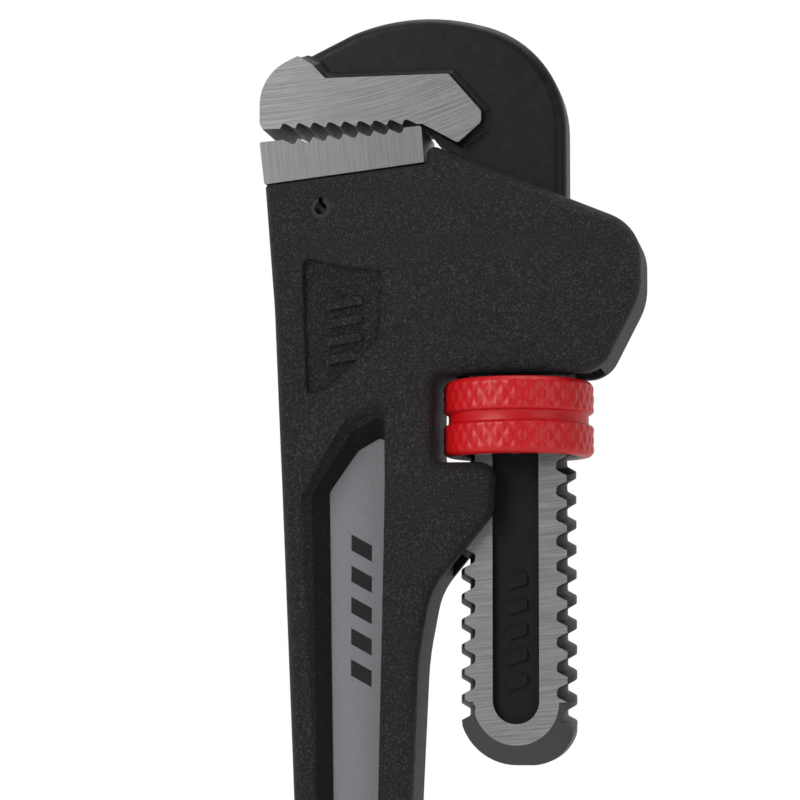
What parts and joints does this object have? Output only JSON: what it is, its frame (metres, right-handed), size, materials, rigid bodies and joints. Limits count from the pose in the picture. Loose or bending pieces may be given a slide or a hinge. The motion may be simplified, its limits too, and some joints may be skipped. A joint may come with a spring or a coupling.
{
  "type": "pipe wrench",
  "caption": "Straight adjustable pipe wrench: a cast handle with a sliding toothed hook jaw, a fixed heel jaw and a knurled adjusting nut.",
  "frame": {"origin": "centre of the hanging hole, midway through the handle's thickness", "axes": "+Z along the handle from the hanging hole to the jaws and parallel to the hook's shank, +X towards the housing's nose and the adjusting nut, +Y through the thickness, along the hanging hole"},
  "size_m": [0.0721, 0.0282, 0.2104],
  "materials": {
    "black_enamel": "rough black enamel on ductile iron, with a grey painted panel in the grip's recess",
    "forged_steel": "smooth black on the forged web, bright ground steel on the teeth land and the shank's faces",
    "ground_steel": "ground bright, fine lines across the faces",
    "pin_steel": "dark oiled spring steel",
    "red_enamel": "glossy red enamel over knurled steel",
    "spring_steel": "oiled blue-grey spring steel"
  },
  "bodies": {
    "handle_body": {"handle": "black_enamel", "heel_jaw": "ground_steel", "heel_jaw_pin": "pin_steel", "coil_spring": "spring_steel"},
    "spring_guide": {"flat_spring": "spring_steel", "spring_stud": "spring_steel"},
    "hook_body": {"hook_jaw": "forged_steel"},
    "nut_body": {"adjusting_nut": "red_enamel"}
  },
  "joints": [
    {"name": "jaw_rock", "type": "hinge", "parent": "handle_body", "child": "spring_guide", "pos_m": [0.02835, 0, 0.1245], "axis": [0, 1, 0], "range_deg": [0, 2.5], "stiffness_Nm_per_rad": 1.4, "springref_deg": -3.44, "deforming": ["coil_spring"]},
    {"name": "jaw_slide", "type": "slide", "parent": "spring_guide", "child": "hook_body", "axis": [0, 0, 1], "range_m": [0, 0.048]},
    {"name": "nut_spin", "type": "hinge", "parent": "spring_guide", "child": "nut_body", "pos_m": [0.02835, 0, 0.1245], "axis": [0, 0, 1], "range_deg": [-1871.9, 0]}
  ],
  "couplings": [
    {"joint": "nut_spin", "follows": "jaw_slide", "rad_per_m": -680.29}
  ]
}
